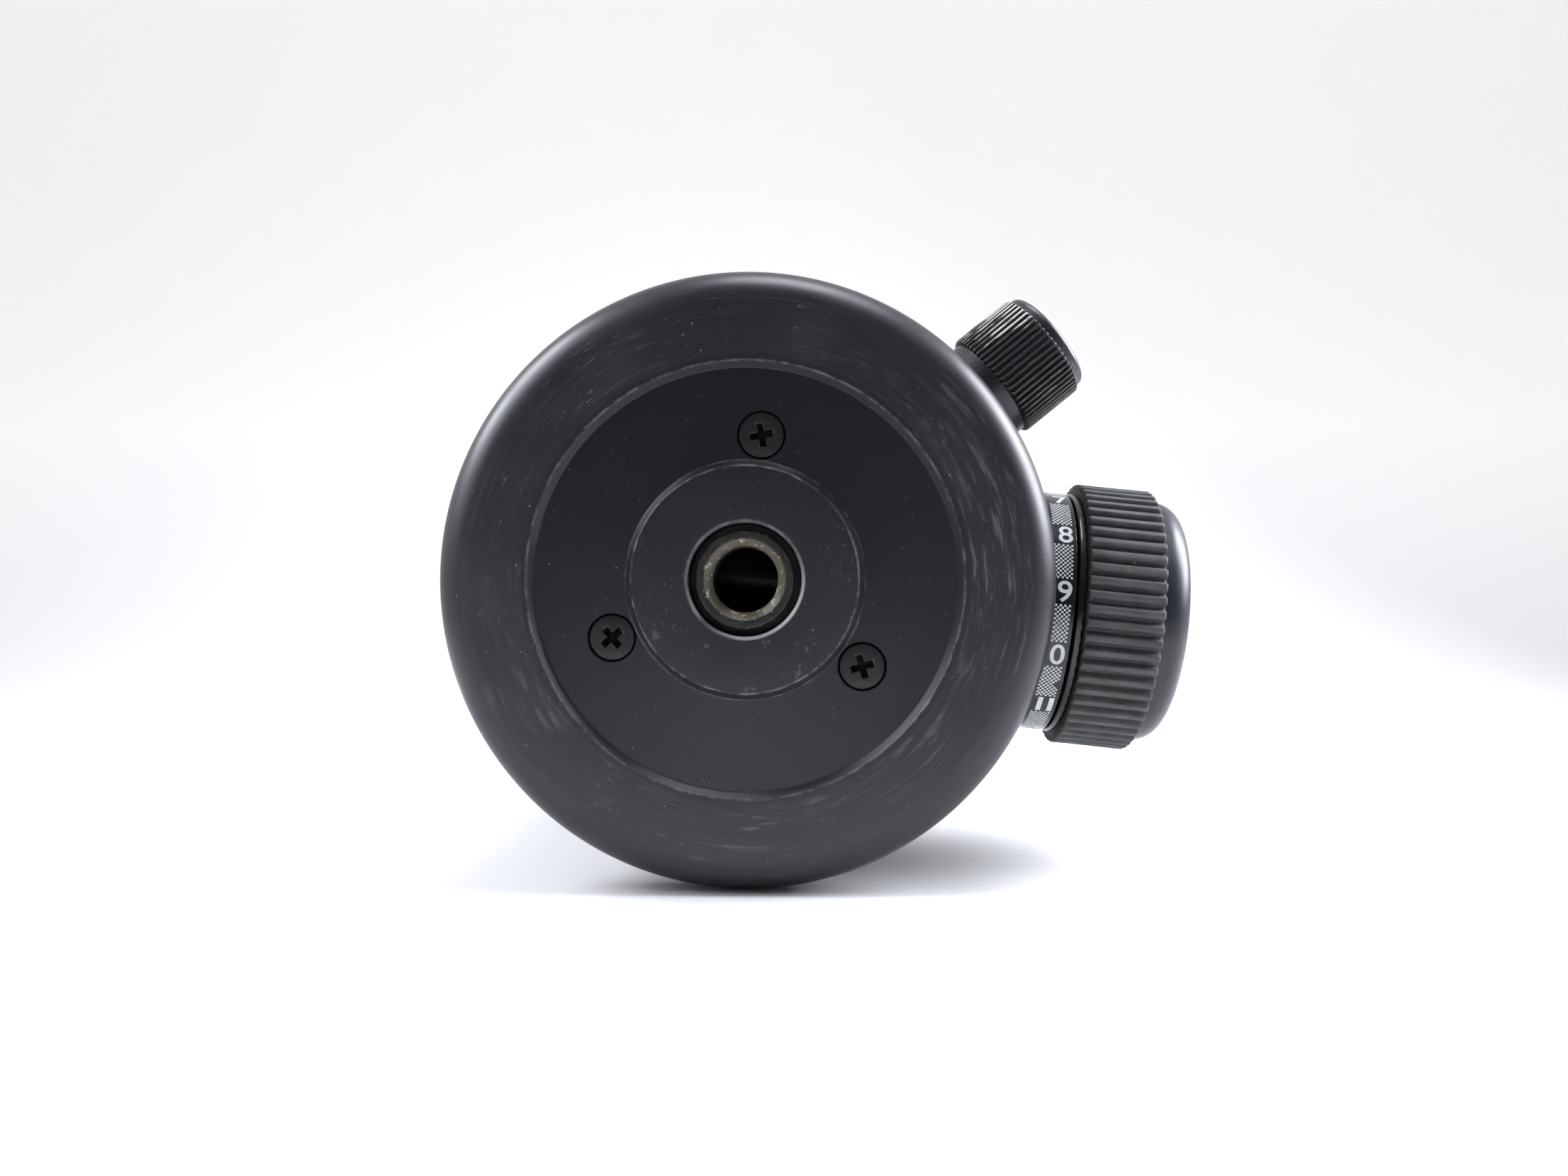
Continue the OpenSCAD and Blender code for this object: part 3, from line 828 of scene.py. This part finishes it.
def make_knob_grip():
    start, end, radius = extent("knob_grip", LOCK_AXIS)
    inner = 15.32
    near, far = 0.28, 0.38
    corners = [(inner, start, 0), (radius, start, near), (radius, end, far), (inner, end, 0)]
    profile = outer_rows(rounded(corners, 5), radius, start + near, end - far, 14)

    def rib(r, h, angle):
        if r < inner + 0.5:
            return r
        crest = ridge(angle, GRIP_RIBS, 0.93, 0.66)
        waver = 0.012 * math.sin(7 * angle + 0.9 * h) * math.sin(1.3 * h + 2.1)
        dished = 0.03 * math.sin(math.pi * (h - start) / (end - start))
        return min(r, r - RIB_DEPTH * (1 - crest) - 0.05 - dished + waver * crest)

    grip = lathe("knob_grip_ribbed", profile, LOCK_AXIS, GRIP_RIBS * 24, rib, sharp=60)
    return stand_for(grip, "knob_grip", rubber_look("grip_rubber"))


def make_knob_cap():
    start, end, radius = extent("knob_cap", LOCK_AXIS)
    profile = rounded([(0, start, 0), (radius, start, 0.15), (radius, end, 3.0), (0, end, 0)], 14)
    cap = lathe("knob_cap_turned", profile, LOCK_AXIS, 320, sharp=40)
    return stand_for(cap, "knob_cap", cap_look())


KNURL_TEETH = 58
KNURL_DEPTH = 0.4


def make_pan_knob():
    start, end, radius = extent("pan_knob", PAN_LOCK_AXIS)
    neck, grip_start, bore = 7.0, 41.25, 3.02
    near, far = 0.45, 0.35
    corners = [
        (bore, start, 0),
        (neck, start, 0.2),
        (neck, grip_start, 0.05),
        (radius, grip_start, near),
        (radius, end, far),
        (neck - 0.6, end, 0),
        (bore, end, 0),
    ]
    profile = outer_rows(rounded(corners, 5), radius, grip_start + near, end - far, 18)

    def tooth(r, h, angle):
        if r <= neck + 0.02:
            return r
        crest = ridge(angle, KNURL_TEETH, 0.95, 0.75)
        ragged = 0.005 * math.sin(angle * 211 + h * 2.3) * math.sin(angle * 57 + h * 5.1)
        return max(neck, min(r, r - KNURL_DEPTH * (1 - crest) - 0.03 + ragged))

    knob = lathe("pan_knob_knurled", profile, PAN_LOCK_AXIS, KNURL_TEETH * 18, tooth, sharp=65)
    return stand_for(knob, "pan_knob", knurl_look(radius))


def make_pan_knob_end():
    start, end, radius = extent("pan_knob_end", PAN_LOCK_AXIS)
    profile = rounded([(0, start, 0), (radius, start, 0.05), (radius, end, 0.75), (0, end, 0)], 8)
    disc = lathe("pan_knob_end_bevelled", profile, PAN_LOCK_AXIS, 200)
    return stand_for(disc, "pan_knob_end", end_disc_look())


def make_ball():
    _, top, radius = extent("ball", PAN_AXIS)
    flat_r = math.sqrt(radius**2 - (top - BALL_CENTRE) ** 2)
    last = math.asin((top - BALL_CENTRE) / radius)
    spigot, socket, steps = 4.05, 12.2, 120
    arc = []
    for k in range(steps + 1):
        a = -math.pi / 2 + (last + math.pi / 2) * k / steps
        arc.append((radius * math.cos(a) if k else 0, BALL_CENTRE + radius * math.sin(a)))
    hole = [(spigot, top), (spigot, top - socket), (0, top - socket)]
    profile = [*arc, (flat_r - 0.15, top), *hole]
    ball = lathe("ball_turned", profile, PAN_AXIS, 288, sharp=40)
    return stand_for(ball, "ball", ball_look())


def make_stem():
    bottom, top, flange = extent("stem", PAN_AXIS)
    neck, spigot, bore = 7.0, 4.0, 2.82
    shoulder, ledge, bore_end = 81.5, 94.2, 85
    corners = [
        (0, bottom, 0),
        (spigot, bottom, 0.3),
        (spigot, shoulder, 0),
        (neck, shoulder, 0.3),
        (neck, ledge, 0.4),
        (flange, ledge, 0.6),
        (flange, top, 0.15),
        (bore, top, 0),
        (bore, bore_end, 0),
        (0, bore_end, 0),
    ]
    stem = lathe("stem_turned", rounded(corners, 6), PAN_AXIS, 192)
    return stand_for(stem, "stem", LOOKS["anodised_black"])


def make_platform():
    bottom, top, radius = extent("platform", PAN_AXIS)
    bore, bevel, groove = 2.82, 2.5, 0.6
    band = bottom + bevel
    corners = [
        (bore, bottom, 0),
        (radius - bevel, bottom, 0.25),
        (radius, band, 0.3),
        (radius, band + 1.2, 0.15),
        (radius - groove, band + 1.6, 0.2),
        (radius - groove, band + 2.4, 0.2),
        (radius, band + 2.8, 0.15),
        (radius, top, 0.35),
        (bore, top, 0),
    ]
    disc = lathe("platform_turned", rounded(corners, 5), PAN_AXIS, 320)
    return stand_for(disc, "platform", LOOKS["anodised_black"])


def make_platform_pad():
    bottom, top, radius = extent("platform_pad", PAN_AXIS)
    hole, rings = 5.0, 9
    points = [(hole, bottom), (hole, top - 0.2), (hole + 0.2, top)]
    pitch = (radius - hole - 1.2) / rings
    for k in range(rings):
        r = hole + 0.7 + pitch * k
        for share, drop in ((0.0, 0), (0.62, 0), (0.72, 0.28), (0.92, 0.28)):
            points.append((r + pitch * share, top - drop))
    points += [(radius - 0.3, top), (radius, top - 0.3), (radius, bottom)]
    pad = lathe("platform_pad_grooved", points, PAN_AXIS, 256)
    return stand_for(pad, "platform_pad", rubber_look("pad_rubber", 0.4))


STUD_PITCH = 25.4 / 20


def make_camera_screw():
    bottom, top, radius = extent("camera_screw", PAN_AXIS)
    shank, start, depth = 2.8, 104.3, 0.5
    rows = 90
    thread = [(radius, start + (top - 0.7 - start) * k / rows) for k in range(rows + 1)]
    profile = [(0, bottom), (shank, bottom), (shank, start), *thread, (radius - 0.75, top), (0, top)]

    def helix(r, h, angle):
        if r < radius - 0.01:
            return r
        phase = (h / STUD_PITCH - angle / TURN) % 1.0
        return r - depth * min(1.0, max(0.0, 1.2 * abs(2 * phase - 1) - 0.1))

    stud = lathe("camera_screw_threaded", profile, PAN_AXIS, 192, helix, sharp=50)
    return stand_for(stud, "camera_screw", LOOKS["bare_steel"])


def paint_cad_nodes():
    """CAD nodes that show as they are take their slot's look, except the lock spindle, which takes a
    darker copy of the steel look as painted shade inside the housing.
    """
    for name, node in cad_nodes.items():
        if node.hide_render:
            continue
        node.data.materials.clear()
        # painted shade: the lock spindle inside the housing gets a darker copy of the steel look
        look = "painted_shade_steel" if name == "lock_spindle" else slot_of_node[name]
        node.data.materials.append(LOOKS[look])
        shade_smooth(node.data, 28)


# ---------------------------------------------------------------- camera, stage and light

# the object lies on its side before the camera, which looks up the pan axis
CAMERA_AT = Vector((9.162, 0.572, -152.87))
LOOKS_ALONG = Vector((-0.02812, -0.00036, 0.99960))
IMAGE_UP = Vector((-0.10243, -0.99474, -0.00323))
LENS = 29.13
SIDE = Vector((0.9947, -0.1024, 0)).normalized()
UP = Vector((-0.1024, -0.9947, 0)).normalized()
FLOOR_BELOW = 38.35


def aimed(place, along, up):
    """The frame of a camera or lamp that looks along a direction from its place."""
    back = -along.normalized()
    right = up.cross(back).normalized()
    turned = Matrix((right, back.cross(right), back)).transposed().to_4x4()
    return Matrix.Translation(place) @ turned


def make_camera():
    data = bpy.data.cameras.new("main_camera")
    data.lens = LENS
    data.sensor_width = 36
    data.clip_start, data.clip_end = 0.005, 20
    place = aimed(CAMERA_AT * MM, LOOKS_ALONG, IMAGE_UP)
    bpy.context.scene.camera = add_object("main_camera", data, place)


def math_node(tree, operation, a, b):
    """A maths node, clamped from 0 to 1."""
    made = tree.nodes.new("ShaderNodeMath")
    made.operation = operation
    made.use_clamp = True
    plug(tree, made.inputs[0], a)
    plug(tree, made.inputs[1], b)
    return made.outputs[0]


def ramp_node(tree, value, start, end, low, high):
    """Goes evenly from low to high as the value goes from start to end."""
    made = tree.nodes.new("ShaderNodeMapRange")
    for socket, given in zip(made.inputs, (value, start, end, low, high)):
        plug(tree, socket, given)
    return made.outputs[0]


def paper_look(name, glow, only_camera=False):
    """White paper that glows by up to this much towards the object's far end.

    Camera rays pass through its back, so that other views see the object. With only_camera, all
    other rays pass through it too.
    """
    material = bpy.data.materials.new(name)
    material.use_nodes = True
    tree = material.node_tree
    tree.nodes.clear()
    out = tree.nodes.new("ShaderNodeOutputMaterial")
    paper = tree.nodes.new("ShaderNodeBsdfDiffuse")
    paper.inputs["Color"].default_value = (0.78, 0.78, 0.775, 1)
    light = tree.nodes.new("ShaderNodeEmission")
    light.inputs["Color"].default_value = (1.0, 1.0, 0.985, 1)
    depth = tree.nodes.new("ShaderNodeSeparateXYZ")
    tree.links.new(tree.nodes.new("ShaderNodeTexCoord").outputs["Object"], depth.inputs[0])
    fade = ramp_node(tree, depth.outputs[2], 0.12, 0.46, 0.0, glow)
    tree.links.new(fade, light.inputs["Strength"])
    both = tree.nodes.new("ShaderNodeAddShader")
    tree.links.new(paper.outputs[0], both.inputs[0])
    tree.links.new(light.outputs[0], both.inputs[1])
    clear = tree.nodes.new("ShaderNodeBsdfTransparent")
    back = tree.nodes.new("ShaderNodeNewGeometry").outputs["Backfacing"]
    ray = tree.nodes.new("ShaderNodeLightPath").outputs["Is Camera Ray"]
    if only_camera:
        hidden = math_node(tree, "SUBTRACT", 1.0, math_node(tree, "SUBTRACT", ray, back))
    else:
        hidden = math_node(tree, "MULTIPLY", back, ray)
    pick = tree.nodes.new("ShaderNodeMixShader")
    tree.links.new(hidden, pick.inputs[0])
    tree.links.new(both.outputs[0], pick.inputs[1])
    tree.links.new(clear.outputs[0], pick.inputs[2])
    tree.links.new(pick.outputs[0], out.inputs["Surface"])
    return material


def make_sweep():
    """A paper sweep: the floor that the object lies on, curving up far behind it."""
    flat_end, bend, high, half_wide, near, steps = 170, 420, 1500, 2200, -1200, 32
    line = [(near, 0.0)]
    for k in range(steps + 1):
        a = math.pi / 2 * k / steps
        line.append((flat_end + bend * math.sin(a), bend * (1 - math.cos(a))))
    line.append((flat_end + bend, high))
    work = bmesh.new()
    rows = []
    for along, height in line:
        middle = UP * (height - FLOOR_BELOW) + Vector((0, 0, along))
        ends = (middle - SIDE * half_wide, middle + SIDE * half_wide)
        rows.append([work.verts.new(end * MM) for end in ends])
    for a, b in zip(rows, rows[1:]):
        face = work.faces.new((a[0], a[1], b[1], b[0]))
        face.normal_update()
        if face.normal.dot(UP - Vector((0, 0, 1))) < 0:
            face.normal_flip()
    mesh = bpy.data.meshes.new("paper_sweep")
    work.to_mesh(mesh)
    work.free()
    mesh.polygons.foreach_set("use_smooth", [True] * len(mesh.polygons))
    mesh.materials.append(paper_look("sweep_paper", 0.51))
    return add_object("paper_sweep", mesh, Matrix.Identity(4))


def make_ground():
    """Ground for upright views, seen only from above and only by the camera."""
    half, below = 2500, 0.3
    mesh = bpy.data.meshes.new("upright_ground")
    corners = [(-half, -half), (half, -half), (half, half), (-half, half)]
    mesh.from_pydata([Vector((x, y, -below)) * MM for x, y in corners], [], [(0, 1, 2, 3)])
    mesh.materials.append(paper_look("ground_paper", 0.35, only_camera=True))
    return add_object("upright_ground", mesh, Matrix.Identity(4))


def make_light(name, azimuth, forward, distance, wide, deep, radiance):
    """A soft box aimed at the object from an azimuth in degrees, this far along its pan axis."""
    data = bpy.data.lights.new(name, "AREA")
    data.shape = "RECTANGLE"
    data.size, data.size_y = wide * MM, deep * MM
    data.color = (0.90, 0.92, 1.0)
    data.energy = radiance * math.pi * data.size * data.size_y
    a = math.radians(azimuth)
    place = Vector((math.cos(a) * distance, math.sin(a) * distance, forward)) * MM
    target = Vector((0, 0, 4)) * MM
    return add_object(name, data, aimed(place, target - place, Vector((0, 0, 1))))


def make_world():
    """A pale room: dim before the object, brighter round its sides and below."""
    world = bpy.data.worlds.new("pale_room")
    bpy.context.scene.world = world
    world.use_nodes = True
    tree = world.node_tree
    background = tree.nodes["Background"]
    where = tree.nodes.new("ShaderNodeTexCoord").outputs["Generated"]

    def ramp_along(direction, start, end, low, high):
        dot = tree.nodes.new("ShaderNodeVectorMath")
        dot.operation = "DOT_PRODUCT"
        dot.inputs[1].default_value = direction
        tree.links.new(where, dot.inputs[0])
        return ramp_node(tree, dot.outputs["Value"], start, end, low, high)

    product = tree.nodes.new("ShaderNodeMath")
    product.operation = "MULTIPLY"
    tree.links.new(ramp_along(UP, -0.5, 0.7, 1.25, 0.75), product.inputs[0])
    tree.links.new(ramp_along((0, 0, 1), -0.9, -0.10, 0.12, 0.85), product.inputs[1])
    tree.links.new(product.outputs[0], background.inputs["Strength"])
    background.inputs["Color"].default_value = (0.91, 0.92, 1.0, 1)


# ---------------------------------------------------------------- build

LOOKS = {
    "anodised_black": anodised_look("anodised_black"),
    "gloss_black": gloss_look("gloss_black_plain"),
    "bush_steel": steel_look("bush_steel_plain", (0.2, 0.18, 0.15), 0.4),
    "bare_steel": steel_look("bare_steel", (0.42, 0.41, 0.40), 0.36),
    "screw_black": anodised_look("screw_black_plain", (0.012, 0.012, 0.012), 0.4),
    # painted shade: a darker copy of the steel look, for the lock spindle inside the housing
    "painted_shade_steel": steel_look("painted_shade_steel", (0.05, 0.05, 0.052), 0.35),
    "bronze": steel_look("bronze", (0.48, 0.33, 0.16), 0.38),
    "white_plastic": plastic_look(),
}

make_base_disc()
make_base_screws()
make_thread_bush()
make_scale_drum()
make_scale_marks()
make_knob_collar()
make_knob_grip()
make_knob_cap()
make_pan_knob()
make_pan_knob_end()
make_ball()
make_stem()
make_platform()
make_platform_pad()
make_camera_screw()
paint_cad_nodes()

make_camera()
make_sweep()
make_ground()
make_light("soft_box_right", -33, 45, 260, 170, 130, 20)
make_light("soft_box_top", -88, 5, 260, 130, 110, 10)
make_light("soft_box_left", -146, 12, 260, 130, 100, 13)
make_light("window_upper_left", -150, -60, 300, 200, 200, 4.5)
make_world()
bpy.context.scene.view_settings.view_transform = "Standard"
